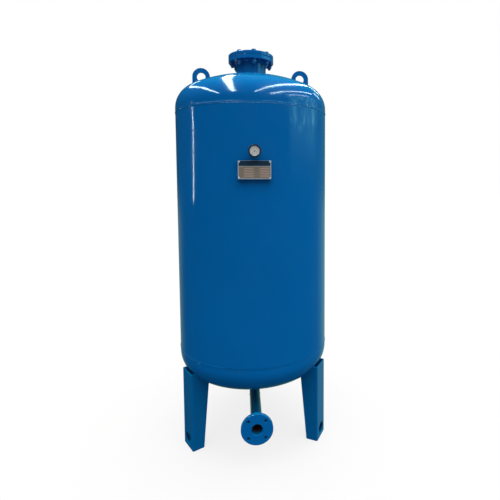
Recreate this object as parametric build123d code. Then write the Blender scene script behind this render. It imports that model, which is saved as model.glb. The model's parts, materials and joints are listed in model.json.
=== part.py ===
from build123d import *
import os
from math import asin, cos, degrees, pi, radians, sin, sqrt, tan

# Upright bladder pressure tank on three folded legs.
# Millimetres, +Z up, the front looks along -Y. The origin lies on the tank's axis at floor
# level, in the middle of the anchor holes. Air fills the bladder, water comes in from below.

# Vessel
shell_od = 850.0
shell_wall = 5.0
course_length = 1311.0
head_wall = 5.0
head_skirt = 25.0
crown_radius = 850.0
knuckle_radius = 127.5
bottom_tangent_z = 488.0
seam_width = 12.0
seam_crown = 1.8
long_seam_angle = 150.0
weld_leg = 6.0
weld_gap = 0.2
slot_gap = 0.3

# Neck, its flange and the blind cover
neck_od = 168.3
neck_wall = 5.6
neck_reach = 76.0
neck_inset = 2.0
pipe_setback = 4.0
neck_flange_thickness = 20.0
cover_thickness = 18.0
flange_edge = 1.5
bolt_offset = 22.0
bolt_margin = 21.5
cover_bolt_count = 8
cover_turn = -83.0

# Cover bolts
bolt_thread = 16.0
bolt_hole = 18.0
hex_flats = 24.0
hex_face_share = 0.97
hex_chamfer_angle = 30.0
bolt_head_height = 10.0
nut_height = 14.8
bolt_end = 9.0
washer_od = 30.0
washer_bore = 17.0
washer_thickness = 3.0
thread_gap = 0.1

# Bladder and the guard over the outlet
bladder_wall = 4.0
bladder_play = 12.0
bladder_neck_play = 2.0
bladder_shoulder = 12.0
bladder_lift = 60.0
rim_thickness = 3.0
rim_bolt_play = 3.0
guard_od = 110.0
guard_height = 24.0
guard_wall = 2.0
guard_hole = 9.0
guard_ring_count = 2
guard_ring_pitch = 19.0
guard_hole_count = 6
guard_slot_count = 8
guard_slot_width = 14.0
guard_slot_height = 10.0

# Charging valve in the middle of the cover
valve_thread = 13.0
valve_flats = 17.0
valve_hex_height = 6.0
valve_stem_od = 9.0
valve_stem_height = 24.0
valve_bore = 5.2
core_od = 5.0
core_length = 11.0
core_sink = 1.5
pin_od = 1.6
pin_bore_play = 0.08
pin_head_od = 3.6
pin_head_height = 1.5
cap_wall = 1.4
cap_depth = 9.0

# Lifting lugs
lug_radius = 49.0
lug_hole = 48.0
lug_thickness = 12.0
lug_inset = 143.0
lug_rise = 44.5

# Legs, folded channels with the web outward
web_width = 120.0
leg_sheet = 5.0
leg_bend = 8.0
leg_depth_foot = 65.0
leg_depth_top = 105.4
web_drop = 65.0
access_width = 74.0
access_hole = 58.0
access_height = 46.0
foot_thickness = 10.0
foot_setback = 2.0
anchor_hole = 18.0
leg_azimuths = {"left": -60.0, "right": 60.0, "rear": 180.0}

# Outlet pipe and flange
stub_drop = 27.4
outlet_reach = 414.0
outlet_pipe_od = 60.3
outlet_pipe_wall = 2.9
bend_radius = 76.0
stub_inset = 3.0
pipe_seam = 8.0
pipe_seam_crown = 1.2
outlet_flange_od = 165.0
outlet_flange_thickness = 18.0
outlet_bolt_circle = 125.0
outlet_bolt_hole = 18.0
outlet_bolt_count = 4
flange_bore_play = 0.35

# Pressure gauge, back entry
gauge_z = 1588.0
boss_od = 24.0
boss_length = 20.0
boss_inset = 3.0
shank_od = 12.8
shank_length = 14.0
socket_flats = 14.0
socket_hex_length = 8.0
socket_neck_od = 12.0
case_radius = 28.5
case_sheet = 1.0
case_depth = 26.0
window_thickness = 1.5
bezel_radius = 30.2
bezel_sheet = 1.0
bezel_skirt = 5.0
bezel_opening = 25.0
dial_thickness = 0.6
dial_hole = 1.2
dial_depth = 6.7
stop_pin_radius = 0.5
stop_pin_place = 12.0

# Gauge movement
block_side = 12.0
block_height = 9.5
arm_width = 10.0
passage = 3.0
tube_radius = 18.5
tube_axial = 7.0
tube_radial = 2.6
tube_skin = 0.4
tube_sweep = 250.0
plate_sheet = 1.0
plate_space = 5.0
plate_width = 13.0
plate_margin = 6.5
pillar_radius = 1.2
pillar_inset = 1.9
arbor_radius = 0.6
sector_arbor_radius = 0.8
arbor_play = 0.05
arbor_end = 0.2
gear_module = 0.25
pinion_tooth_count = 12
sector_tooth_count = 90
sector_swing = 36.0
sector_spare_count = 2
gear_face = 1.2
gear_rest = 0.7
tooth_height = 0.8
tooth_root_share = 0.27
tooth_tip_share = 0.12
sector_hub = 2.5
tail_radius = 5.0
eye_radius = 1.5
tail_pin_radius = 0.5
tail_pin_play = 0.08
link_sheet = 0.5
link_gap = 0.3
link_top = (9.0, -1.3)
tip_depth = 2.4
tip_sheet = 0.8
pointer_length = 20.0
pointer_tail = 7.0
pointer_root_width = 2.4
pointer_tip_width = 0.5
pointer_sheet = 0.6
pointer_hub = 2.6
pointer_height = 2.2
pointer_zero = 225.0

# Nameplate on its bracket
plate_z = 1501.0
bracket_width = 162.0
bracket_height = 92.0
bracket_standoff = 20.0
bracket_sheet = 2.0
bracket_bend = 4.0
nameplate_border = 2.0
nameplate_sheet = 0.8
nameplate_corner = 3.0
rivet_inset = 6.0
rivet_radius = 1.6
rivet_head_radius = 4.2
rivet_head_height = 1.4
rivet_crown = 1.0
rivet_play = 0.1

# Places worked out from the sizes above
shell_r = shell_od / 2
lug_offset = shell_r - lug_inset
bottom_seam_z = bottom_tangent_z + head_skirt
top_seam_z = bottom_seam_z + course_length
top_tangent_z = top_seam_z + head_skirt
full_turn = 360.0
half_turn = full_turn / 2
quarter_turn = full_turn / 4
on_floor = (Align.CENTER, Align.CENTER, Align.MIN)


def dish_depth(radius, crown, knuckle):
    """Height of a dished end over its tangent line."""
    return crown - sqrt((crown - knuckle) ** 2 - (radius - knuckle) ** 2)


def dish_edges(radius, crown, knuckle, tangent_z, up):
    """Half outline of a dished end, from its centre out to its tangent line."""
    crown_centre = dish_depth(radius, crown, knuckle) - crown
    lean = asin((radius - knuckle) / (crown - knuckle))

    def spot(centre_x, centre_z, arc, angle):
        return (centre_x + arc * sin(angle), tangent_z + up * (centre_z + arc * cos(angle)))

    meeting = spot(0, crown_centre, crown, lean)
    crown_arc = ThreePointArc(
        spot(0, crown_centre, crown, 0), spot(0, crown_centre, crown, lean / 2), meeting
    )
    knuckle_middle = spot(radius - knuckle, 0, knuckle, (lean + pi / 2) / 2)
    knuckle_arc = ThreePointArc(meeting, knuckle_middle, (radius, tangent_z))
    return [crown_arc, knuckle_arc]


def crown_height(radius):
    """Height of a head's outer surface over its tangent line, on its crown."""
    depth = dish_depth(shell_r, crown_radius, knuckle_radius)
    return depth - crown_radius + sqrt(crown_radius**2 - radius**2)


def turned(edges):
    """Solid of revolution about the tank's axis from a closed outline in x and z."""
    return revolve(Plane.XZ * make_face(edges), Axis.Z)


def turned_points(*points):
    """Solid of revolution from the corners of its outline."""
    return turned(Polyline(*points, close=True))


def head_body(tangent_z, up, skin):
    """The space inside a head's outer surface, grown by a skin, for profiling what meets it."""
    radius = shell_r + skin
    edges = dish_edges(radius, crown_radius + skin, knuckle_radius + skin, tangent_z, up)
    top = tangent_z + up * dish_depth(radius, crown_radius + skin, knuckle_radius + skin)
    skirt_end = tangent_z - up * head_skirt
    edges += [
        Line((radius, tangent_z), (radius, skirt_end)),
        Line((radius, skirt_end), (0, skirt_end)),
        Line((0, skirt_end), (0, top)),
    ]
    return turned(edges)


def dished_head(tangent_z, seam_z, up, nozzle_od):
    """Pressed head with a straight skirt, a bevelled weld edge and a hole for its nozzle."""
    inner_r = shell_r - head_wall
    outer = dish_edges(shell_r, crown_radius, knuckle_radius, tangent_z, up)
    inner = dish_edges(
        inner_r, crown_radius - head_wall, knuckle_radius - head_wall, tangent_z, up
    )
    depth = dish_depth(shell_r, crown_radius, knuckle_radius)
    slope = seam_width / 2 / shell_wall
    bevel_out = seam_z + up * (seam_width / 2 + weld_gap)
    bevel_in = seam_z + up * ((shell_wall - head_wall) * slope + weld_gap)
    ends = [
        Line((shell_r, tangent_z), (shell_r, bevel_out)),
        Line((shell_r, bevel_out), (inner_r, bevel_in)),
        Line((inner_r, bevel_in), (inner_r, tangent_z)),
        Line((0, tangent_z + up * depth), (0, tangent_z + up * (depth - head_wall))),
    ]
    hole = Cylinder(nozzle_od / 2 + weld_gap, 2 * depth)
    return turned(outer + inner + ends) - Pos(0, 0, tangent_z + up * depth) * hole


def shell_course():
    """Rolled cylinder with the two ring seams and the long seam."""
    inner_r = shell_r - shell_wall
    half = seam_width / 2
    low, high = bottom_seam_z, top_seam_z
    course = turned(
        [
            Line((inner_r, low), (inner_r, high)),
            Line((inner_r, high), (shell_r, high + half)),
            ThreePointArc(
                (shell_r, high + half), (shell_r + seam_crown, high), (shell_r, high - half)
            ),
            Line((shell_r, high - half), (shell_r, low + half)),
            ThreePointArc(
                (shell_r, low + half), (shell_r + seam_crown, low), (shell_r, low - half)
            ),
            Line((shell_r, low - half), (inner_r, low)),
        ]
    )
    sunk = shell_r - shell_wall / 2
    bead_face = make_face(
        [
            ThreePointArc((sunk, -half), (shell_r + seam_crown, 0), (sunk, half)),
            Line((sunk, half), (sunk, -half)),
        ]
    )
    bead = Rot(0, 0, long_seam_angle - quarter_turn) * extrude(Pos(0, 0, low) * bead_face, course_length)
    boss_hole = Cylinder(boss_od / 2 + weld_gap, 4 * shell_wall)
    return course + bead - gauge_place() * boss_hole


def flange(diameter, thickness, bore, circle, count, hole, turn):
    """Flat flange standing on z = 0, its first bolt hole turned from the local x axis."""
    plate = extrude(Circle(diameter / 2), thickness)
    plate = chamfer(plate.edges(), flange_edge)
    cuts = [Cylinder(bore / 2, thickness, align=on_floor)]
    for spot in PolarLocations(circle / 2, count, turn):
        cuts.append(spot * Cylinder(hole / 2, thickness, align=on_floor))
    return plate - cuts


def hexagon(flats, height):
    """Hexagon bar end with its tips turned off at the top, standing on z = 0."""
    top_radius = flats / 2 * hex_face_share
    spread = height / tan(radians(hex_chamfer_angle))
    bar = extrude(RegularPolygon(flats / 2, 6, major_radius=False), height)
    cone = Cone(top_radius + spread, top_radius, height, align=on_floor)
    return bar & cone


# Neck and cover
neck_r = neck_od / 2
head_top_z = top_tangent_z + dish_depth(shell_r, crown_radius, knuckle_radius)
neck_flange_z = head_top_z + neck_reach
rim_z = neck_flange_z + neck_flange_thickness
cover_z = rim_z + rim_thickness
cover_top_z = cover_z + cover_thickness
cover_circle = neck_od + 2 * bolt_offset
cover_od = cover_circle + 2 * bolt_margin
neck_bore = neck_od + 2 * flange_bore_play


def neck_pipe():
    """Neck nozzle with its weld fillets at the head and under the flange."""
    inner = neck_r - neck_wall
    foot = top_tangent_z + crown_height(neck_r)
    toe = top_tangent_z + crown_height(neck_r + weld_leg)
    low = foot - head_wall - neck_inset
    end = rim_z - pipe_setback
    return turned_points(
        (inner, low),
        (neck_r, low),
        (neck_r, foot + weld_gap),
        (neck_r + weld_leg, toe + weld_gap),
        (neck_r, foot + weld_leg),
        (neck_r, neck_flange_z - weld_leg),
        (neck_r + weld_leg, neck_flange_z - weld_gap),
        (neck_r, neck_flange_z - weld_gap),
        (neck_r, end),
        (inner, end),
    )


def neck_flange():
    ring = flange(
        cover_od,
        neck_flange_thickness,
        neck_bore,
        cover_circle,
        cover_bolt_count,
        bolt_hole,
        cover_turn,
    )
    return Pos(0, 0, neck_flange_z) * ring


def mouth_cover():
    plate = flange(
        cover_od,
        cover_thickness,
        valve_thread + 2 * thread_gap,
        cover_circle,
        cover_bolt_count,
        bolt_hole,
        cover_turn,
    )
    return Pos(0, 0, cover_z) * plate


def at_cover_bolts(solid):
    """Copies of a solid at every bolt of the cover."""
    spots = PolarLocations(cover_circle / 2, cover_bolt_count, cover_turn)
    return Compound(children=[spot * solid for spot in spots])


def cover_bolts():
    low = neck_flange_z - washer_thickness - nut_height - bolt_end
    shank = Pos(0, 0, low) * Cylinder(bolt_thread / 2, cover_top_z - low, align=on_floor)
    return at_cover_bolts(shank + Pos(0, 0, cover_top_z) * hexagon(hex_flats, bolt_head_height))


def cover_nuts():
    top = neck_flange_z - washer_thickness
    nut = Pos(0, 0, top) * Rot(half_turn, 0, 0) * hexagon(hex_flats, nut_height)
    thread = Pos(0, 0, top) * Cylinder(bolt_thread / 2 + thread_gap, 3 * nut_height)
    return at_cover_bolts(nut - thread)


def cover_washers():
    """One washer under each nut."""
    washer = Cylinder(washer_od / 2, washer_thickness, align=on_floor)
    washer -= Cylinder(washer_bore / 2, washer_thickness, align=on_floor)
    return at_cover_bolts(Pos(0, 0, neck_flange_z - washer_thickness) * washer)


def bag_face(inset):
    """Half section of the space that the bladder fills, drawn inward by an inset."""
    back = head_wall + bladder_play + inset
    radius, crown, knuckle = shell_r - back, crown_radius - back, knuckle_radius - back
    low_z = bottom_tangent_z + bladder_lift
    depth = dish_depth(radius, crown, knuckle)
    neck = neck_r - neck_wall - bladder_neck_play - inset
    dome_centre = top_tangent_z + depth - crown
    throat_z = dome_centre + sqrt(crown**2 - neck**2)
    edges = dish_edges(radius, crown, knuckle, top_tangent_z, 1)
    edges += dish_edges(radius, crown, knuckle, low_z, -1)
    edges += [
        Line((radius, top_tangent_z), (radius, low_z)),
        Line((0, low_z - depth), (0, top_tangent_z + depth)),
    ]
    bag = make_face(edges)
    mouth_height = rim_z - top_tangent_z
    mouth = Pos(neck / 2, top_tangent_z + mouth_height / 2) * Rectangle(neck, mouth_height)
    bag += mouth
    throat = bag.vertices().sort_by_distance((neck, throat_z))[0]
    return fillet(throat, bladder_shoulder + inset)


def bladder():
    """Rubber bag with its clamped rim, open at the mouth."""
    neck = neck_r - neck_wall - bladder_neck_play - bladder_wall
    rim_r = cover_circle / 2 - bolt_hole / 2 - rim_bolt_play
    rim = Pos(rim_r / 2, rim_z + rim_thickness / 2) * Rectangle(rim_r, rim_thickness)
    opening = Pos(neck / 2, rim_z) * Rectangle(neck, 2 * rim_thickness)
    section = bag_face(0) + rim - bag_face(bladder_wall) - opening
    return revolve(Plane.XZ * section, Axis.Z)


def bladder_guard():
    """Perforated cap over the outlet, seated on the inside of the bottom head."""
    radius = guard_od / 2
    seat = bottom_tangent_z - crown_height(radius) + head_wall + weld_gap
    cup = Cylinder(radius, guard_height, align=on_floor)
    cup -= Cylinder(radius - guard_wall, guard_height - guard_wall, align=on_floor)
    cuts = []
    for ring in range(guard_ring_count + 1):
        count = max(1, ring * guard_hole_count)
        for spot in PolarLocations(ring * guard_ring_pitch, count):
            cuts.append(spot * Cylinder(guard_hole / 2, 2 * guard_height, align=on_floor))
    slot = Box(guard_od, guard_slot_width, guard_slot_height)
    for spot in PolarLocations(0, guard_slot_count // 2, 0, half_turn):
        cuts.append(Pos(0, 0, guard_height / 2) * spot * slot)
    return Pos(0, 0, seat) * (cup - cuts)


# Charging valve
valve_top_z = cover_top_z + valve_hex_height + valve_stem_height
core_top_z = valve_top_z - core_sink
core_low_z = core_top_z - core_length


def valve_body():
    stem_r, thread_r = valve_stem_od / 2, valve_thread / 2
    hexed_z = cover_top_z + valve_hex_height
    body = turned_points((0, cover_z), (thread_r, cover_z), (thread_r, cover_top_z), (0, cover_top_z))
    body += Pos(0, 0, cover_top_z) * hexagon(valve_flats, valve_hex_height)
    body += turned_points((0, hexed_z), (stem_r, hexed_z), (stem_r, valve_top_z), (0, valve_top_z))
    bore_height = valve_top_z - cover_z
    return body - Pos(0, 0, cover_z) * Cylinder(valve_bore / 2, bore_height, align=on_floor)


def valve_core():
    core = Cylinder(core_od / 2, core_length, align=on_floor)
    core -= Cylinder(pin_od / 2 + pin_bore_play, core_length, align=on_floor)
    return Pos(0, 0, core_low_z) * core


def valve_pin():
    """Sprung pin of the valve core, with its sealing head under the core."""
    head_z = core_low_z - slot_gap - pin_head_height
    shaft = Pos(0, 0, head_z) * Cylinder(pin_od / 2, valve_top_z - head_z, align=on_floor)
    return shaft + Pos(0, 0, head_z) * Cylinder(pin_head_od / 2, pin_head_height, align=on_floor)


def valve_cap():
    inner = valve_stem_od / 2 + thread_gap
    outer = inner + cap_wall
    top = valve_top_z + slot_gap
    cap = Pos(0, 0, top - cap_depth) * Cylinder(outer, cap_depth + cap_wall, align=on_floor)
    cap -= Pos(0, 0, top - cap_depth) * Cylinder(inner, cap_depth, align=on_floor)
    return chamfer(cap.edges().group_by(Axis.Z)[-1], cap_wall / 2)


def lifting_lug(side):
    """Radial plate with a lifting eye, its foot profiled to the top head."""
    eye_z = top_tangent_z + crown_height(lug_offset) + lug_rise
    drop = eye_z - top_tangent_z
    centre = Pos(side * lug_offset, eye_z)
    outline = centre * Circle(lug_radius)
    outline += Pos(side * lug_offset, eye_z - drop / 2) * Rectangle(2 * lug_radius, drop)
    outline -= centre * Circle(lug_hole / 2)
    plate = extrude(Plane.XZ * outline, lug_thickness / 2, both=True)
    return plate - head_body(top_tangent_z, 1, weld_gap)


# Legs, drawn at the front and turned to their places
leg_radius = shell_r
web_top_z = bottom_tangent_z - web_drop


def leg(azimuth):
    """Folded channel leg, tapered inward, with an access hole at its foot."""
    inner_r = leg_radius - leg_sheet
    side = Polyline(
        (-leg_radius, 0),
        (leg_depth_foot - leg_radius, 0),
        (leg_depth_top - leg_radius, web_top_z),
        (-leg_radius, web_top_z),
        close=True,
    )
    blank = extrude(Plane.YZ * make_face(side), web_width / 2, both=True)
    blank = fillet(blank.edges().filter_by(Axis.Z).group_by(Axis.Y)[0], leg_bend)
    hollow = Pos(0, -inner_r / 2, web_top_z / 2) * Box(
        web_width - 2 * leg_sheet, inner_r, 2 * web_top_z
    )
    hollow = fillet(
        hollow.edges().filter_by(Axis.Z).group_by(Axis.Y)[0], leg_bend - leg_sheet
    )
    slot = Plane.XZ * Pos(0, access_height) * SlotOverall(access_width, access_hole)
    access = Pos(0, -leg_radius) * extrude(slot, 2 * leg_bend, both=True)
    channel = blank - hollow - access - head_body(bottom_tangent_z, -1, weld_gap)
    return Rot(0, 0, azimuth) * channel


foot_length = leg_depth_foot - leg_sheet - slot_gap - foot_setback
anchor_radius = leg_radius - leg_sheet - slot_gap - foot_length / 2


def foot_plate(azimuth):
    """Base plate welded inside the leg's foot, with the anchor hole."""
    width = web_width - 2 * leg_sheet - 2 * slot_gap
    plate = Pos(0, -anchor_radius) * Box(width, foot_length, foot_thickness, align=on_floor)
    plate = chamfer(plate.edges().filter_by(Axis.Z).group_by(Axis.Y)[0], leg_bend - leg_sheet)
    plate -= Pos(0, -anchor_radius) * Cylinder(anchor_hole / 2, foot_thickness, align=on_floor)
    return Rot(0, 0, azimuth) * plate


# Outlet, from the middle of the bottom head to the front
apex_z = bottom_tangent_z - dish_depth(shell_r, crown_radius, knuckle_radius)
outlet_z = apex_z - stub_drop - bend_radius
pipe_r = outlet_pipe_od / 2
pipe_inner_r = pipe_r - outlet_pipe_wall
run_start = bend_radius
flange_back = outlet_reach - outlet_flange_thickness


def outlet_place(distance):
    """Local frame on the outlet's run, its z axis towards the front."""
    return Plane(origin=(0, -distance, outlet_z), x_dir=(1, 0, 0), z_dir=(0, -1, 0)).location


def outlet_stub():
    """Short nozzle under the bottom head, with its weld fillet."""
    low = outlet_z + bend_radius
    foot = bottom_tangent_z - crown_height(pipe_r)
    toe = bottom_tangent_z - crown_height(pipe_r + weld_leg)
    end = foot + head_wall + stub_inset
    return turned_points(
        (pipe_inner_r, low + weld_gap),
        (pipe_r, low + pipe_seam / 2 + weld_gap),
        (pipe_r, foot - weld_leg),
        (pipe_r + weld_leg, toe - weld_gap),
        (pipe_r, foot - weld_gap),
        (pipe_r, end),
        (pipe_inner_r, end),
    )


def pipe_bead():
    """Butt seam around a pipe, centred on z = 0."""
    half = pipe_seam / 2
    return turned(
        [
            Line((pipe_inner_r, 0), (pipe_r, half)),
            ThreePointArc((pipe_r, half), (pipe_r + pipe_seam_crown, 0), (pipe_r, -half)),
            Line((pipe_r, -half), (pipe_inner_r, 0)),
        ]
    )


def outlet_elbow():
    """Quarter bend from the stub to the run, with the butt seams of both ends."""
    top_z = outlet_z + bend_radius
    ring = Pos(0, 0, top_z) * (Circle(pipe_r) - Circle(pipe_inner_r))
    bend_axis = Axis((0, -bend_radius, top_z), (-1, 0, 0))
    bend = revolve(ring, bend_axis, quarter_turn)
    return bend + Pos(0, 0, top_z) * pipe_bead() + outlet_place(run_start) * pipe_bead()


def outlet_run():
    """Straight pipe to the front, let into the flange."""
    back = flange_back - run_start
    end = outlet_reach - pipe_setback - run_start
    pipe = turned_points(
        (pipe_inner_r, weld_gap),
        (pipe_r, pipe_seam / 2 + weld_gap),
        (pipe_r, back - weld_leg),
        (pipe_r + weld_leg, back - weld_gap),
        (pipe_r, back - weld_gap),
        (pipe_r, end),
        (pipe_inner_r, end),
    )
    return outlet_place(run_start) * pipe


def outlet_flange():
    ring = flange(
        outlet_flange_od,
        outlet_flange_thickness,
        outlet_pipe_od + 2 * flange_bore_play,
        outlet_bolt_circle,
        outlet_bolt_count,
        outlet_bolt_hole,
        full_turn / outlet_bolt_count / 2,
    )
    return outlet_place(flange_back) * ring


# Gauge. Its pieces are drawn with local z from the shell's surface towards the front.
case_back = boss_length + socket_hex_length
case_front = case_back + case_depth
block_z = case_back + case_sheet
plates_z = block_z + block_height
front_plate_z = plates_z + plate_sheet + plate_space
dial_z = case_front - dial_depth
window_z = case_front + slot_gap
bezel_z = window_z + window_thickness + slot_gap
pointer_z = dial_z + dial_thickness + pointer_height
gear_z = plates_z + plate_sheet + gear_rest
pinion_pitch_r = gear_module * pinion_tooth_count / 2
sector_pitch_r = gear_module * sector_tooth_count / 2
sector_pivot = (0.0, -(pinion_pitch_r + sector_pitch_r))
tail_spot = (
    sector_pivot[0] + tail_radius * cos(radians(sector_swing / 2)),
    sector_pivot[1] - tail_radius * sin(radians(sector_swing / 2)),
)
link_z = gear_z + gear_face + link_gap
tip_arm_z = link_z + link_sheet + link_gap
tube_z = block_z + block_height / 2
root_lean = asin((arm_width / 2 + weld_gap) / (tube_radius - tube_radial / 2))
tip_angle = half_turn + quarter_turn - degrees(root_lean) - tube_sweep


def gauge_place():
    return Plane(origin=(0, -shell_r, gauge_z), x_dir=(1, 0, 0), z_dir=(0, -1, 0)).location


def disc(radius, low, high, centre=(0, 0)):
    """Upright cylinder between two heights."""
    return Pos(centre[0], centre[1], low) * Cylinder(radius, high - low, align=on_floor)


def gauge_boss():
    """Threaded half coupling welded through the shell."""
    boss = disc(boss_od / 2, -shell_wall - boss_inset, boss_length)
    bore = disc(shank_od / 2 + thread_gap, -shell_wall - boss_inset, boss_length)
    return gauge_place() * (boss - bore)


def gauge_socket():
    """Brass socket: threaded shank, hexagon, neck and the block that holds the tube."""
    socket = disc(shank_od / 2, boss_length - shank_length, boss_length)
    socket += Pos(0, 0, boss_length) * hexagon(socket_flats, socket_hex_length)
    socket += disc(socket_neck_od / 2, boss_length, block_z)
    socket += Pos(0, 0, block_z) * Box(block_side, block_side, block_height, align=on_floor)
    arm_length = tube_radius + tube_radial
    arm = Box(arm_width, arm_length, block_height, align=(Align.CENTER, Align.MAX, Align.MIN))
    socket += Pos(0, 0, block_z) * arm
    return gauge_place() * (socket - disc(passage / 2, boss_length - shank_length, tube_z))


def gauge_case():
    """Pressed steel cup with a turned-out rim."""
    inner = case_radius - case_sheet
    rim = bezel_radius - bezel_sheet - slot_gap
    neck = socket_neck_od / 2 + thread_gap
    cup = turned_points(
        (neck, case_back),
        (case_radius, case_back),
        (case_radius, case_front - case_sheet),
        (rim, case_front - case_sheet),
        (rim, case_front),
        (inner, case_front),
        (inner, block_z),
        (neck, block_z),
    )
    return gauge_place() * cup


def gauge_window():
    radius = bezel_radius - bezel_sheet - slot_gap
    return gauge_place() * disc(radius, window_z, window_z + window_thickness)


def gauge_bezel():
    inner = bezel_radius - bezel_sheet
    ring = turned_points(
        (inner, bezel_z - bezel_skirt),
        (bezel_radius, bezel_z - bezel_skirt),
        (bezel_radius, bezel_z + bezel_sheet / 2),
        (bezel_radius - bezel_sheet / 2, bezel_z + bezel_sheet),
        (bezel_opening + bezel_sheet / 2, bezel_z + bezel_sheet),
        (bezel_opening, bezel_z),
        (inner, bezel_z),
    )
    return gauge_place() * ring


def gauge_dial():
    """Dial with the stop pin that the pointer rests against."""
    plate = disc(case_radius - case_sheet - slot_gap, dial_z, dial_z + dial_thickness)
    plate -= disc(dial_hole, dial_z, dial_z + dial_thickness)
    side_step = pointer_root_width / 2 + stop_pin_radius + slot_gap
    angle = radians(pointer_zero) + side_step / stop_pin_place
    spot = (stop_pin_place * cos(angle), stop_pin_place * sin(angle))
    return gauge_place() * (plate + disc(stop_pin_radius, dial_z, pointer_z + pointer_sheet, spot))


def gauge_plates():
    """Movement frame: back and front plate on three pillars, which also carry the dial."""
    low_y = sector_pivot[1] - plate_margin
    high_y = plate_margin
    height = high_y - low_y
    sheet = Pos(0, (low_y + high_y) / 2) * RectangleRounded(plate_width, height, pillar_inset)
    frame = extrude(Pos(0, 0, plates_z) * sheet, plate_sheet)
    frame += extrude(Pos(0, 0, front_plate_z) * sheet, plate_sheet)
    side = plate_width / 2 - pillar_inset
    for spot in (
        (-side, high_y - pillar_inset),
        (side, high_y - pillar_inset),
        (-side, low_y + pillar_inset),
    ):
        frame += disc(pillar_radius, plates_z, dial_z, spot)
    top = front_plate_z + plate_sheet
    frame -= disc(arbor_radius + arbor_play, plates_z, top)
    frame -= disc(sector_arbor_radius + arbor_play, plates_z, top, sector_pivot)
    return gauge_place() * frame


def gauge_bourdon():
    """Flattened tube bent to a C, open at its root."""
    section = SlotOverall(tube_axial, tube_radial, rotation=quarter_turn)
    hollow = SlotOverall(tube_axial - 2 * tube_skin, tube_radial - 2 * tube_skin, rotation=quarter_turn)
    ring = Plane.XZ * (Pos(tube_radius, tube_z) * (section - hollow))
    return gauge_place() * Rot(0, 0, tip_angle) * revolve(ring, Axis.Z, tube_sweep)


def gauge_tip():
    """End piece brazed on the tube, with the arm that the link hangs on."""
    block_low = tube_z - tube_axial / 2
    block = Pos(tube_radius, -tip_depth / 2 - weld_gap / 2, block_low) * Box(
        2 * tube_radial, tip_depth, tip_arm_z + tip_sheet - block_low, align=on_floor
    )
    block = Rot(0, 0, tip_angle) * block
    reach = tube_radius - link_top[0]
    arm = Pos(link_top[0], link_top[1], tip_arm_z) * Box(
        reach, tip_depth, tip_sheet, align=(Align.MIN, Align.CENTER, Align.MIN)
    )
    piece = block + arm + disc(eye_radius, tip_arm_z, tip_arm_z + tip_sheet, link_top)
    hole = disc(tail_pin_radius + tail_pin_play, tip_arm_z, tip_arm_z + tip_sheet, link_top)
    return gauge_place() * (piece - hole)


def tooth_points(teeth, first_angle, count, outward):
    """Corners of straight-sided teeth, each centred on its pitch, angles in degrees."""
    pitch = full_turn / teeth
    pitch_r = gear_module * teeth / 2
    root_r = pitch_r - outward * gear_module
    tip_r = pitch_r + tooth_height * gear_module
    points = []
    for index in range(count):
        middle = first_angle + index * pitch
        for share, radius in (
            (-tooth_root_share, root_r),
            (-tooth_tip_share, tip_r),
            (tooth_tip_share, tip_r),
            (tooth_root_share, root_r),
        ):
            angle = radians(middle + share * pitch)
            points.append((radius * cos(angle), radius * sin(angle)))
    return points


def gauge_pinion():
    """Pinion with the arbor that carries the pointer."""
    pitch = full_turn / pinion_tooth_count
    corners = tooth_points(pinion_tooth_count, pitch / 2 - quarter_turn, pinion_tooth_count, 1)
    wheel = extrude(Pos(0, 0, gear_z) * make_face(Polyline(*corners, close=True)), gear_face)
    arbor = disc(arbor_radius, plates_z + arbor_end, pointer_z + pointer_sheet)
    return gauge_place() * (wheel + arbor)


def gauge_sector():
    """Toothed sector with its hub, arbor and the tail that the link moves."""
    pitch = full_turn / sector_tooth_count
    working = round(sector_swing / pitch)
    first = quarter_turn - (working + sector_spare_count) * pitch
    corners = tooth_points(sector_tooth_count, first, working + 2 * sector_spare_count + 1, 1)
    fan = make_face(Polyline((0, 0), *corners, close=True)) + Circle(sector_hub)
    tail = (tail_spot[0] - sector_pivot[0], tail_spot[1] - sector_pivot[1])
    tail_bar = Rot(0, 0, -sector_swing / 2) * (
        Pos(tail_radius / 2, 0) * Rectangle(tail_radius, 2 * eye_radius)
    )
    outline = fan + tail_bar + Pos(*tail) * Circle(eye_radius)
    wheel = extrude(Pos(sector_pivot[0], sector_pivot[1], gear_z) * outline, gear_face)
    top = front_plate_z + plate_sheet - arbor_end
    wheel += disc(sector_arbor_radius, plates_z + arbor_end, top, sector_pivot)
    return gauge_place() * (wheel + disc(tail_pin_radius, gear_z, link_z + link_sheet, tail_spot))


def gauge_link():
    """Flat link between the sector's tail and the tube's tip."""
    run_x, run_y = link_top[0] - tail_spot[0], link_top[1] - tail_spot[1]
    length = sqrt(run_x**2 + run_y**2)
    lean = degrees(asin(run_x / length))
    bar = Rot(0, 0, -lean) * (Pos(0, length / 2) * Rectangle(eye_radius, length))
    strip = Pos(*tail_spot) * (bar + Circle(eye_radius)) + Pos(*link_top) * Circle(eye_radius)
    for spot in (tail_spot, link_top):
        strip -= Pos(*spot) * Circle(tail_pin_radius + tail_pin_play)
    return gauge_place() * extrude(Pos(0, 0, link_z) * strip, link_sheet)


def gauge_pointer():
    """Tapered pointer with its hub, at rest on zero."""
    half_root, half_tip = pointer_root_width / 2, pointer_tip_width / 2
    blade = make_face(
        Polyline(
            (-pointer_tail, -half_root),
            (0, -half_root),
            (pointer_length, -half_tip),
            (pointer_length, half_tip),
            (0, half_root),
            (-pointer_tail, half_root),
            close=True,
        )
    )
    outline = blade + Circle(pointer_hub) - Circle(arbor_radius + arbor_play)
    return gauge_place() * extrude(
        Pos(0, 0, pointer_z) * Rot(0, 0, pointer_zero) * outline, pointer_sheet
    )


# Nameplate, drawn in the same way as the gauge
nameplate_face = bracket_standoff + bracket_sheet
rivet_x = bracket_width / 2 - nameplate_border - rivet_inset
rivet_y = bracket_height / 2 - nameplate_border - rivet_inset


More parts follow.
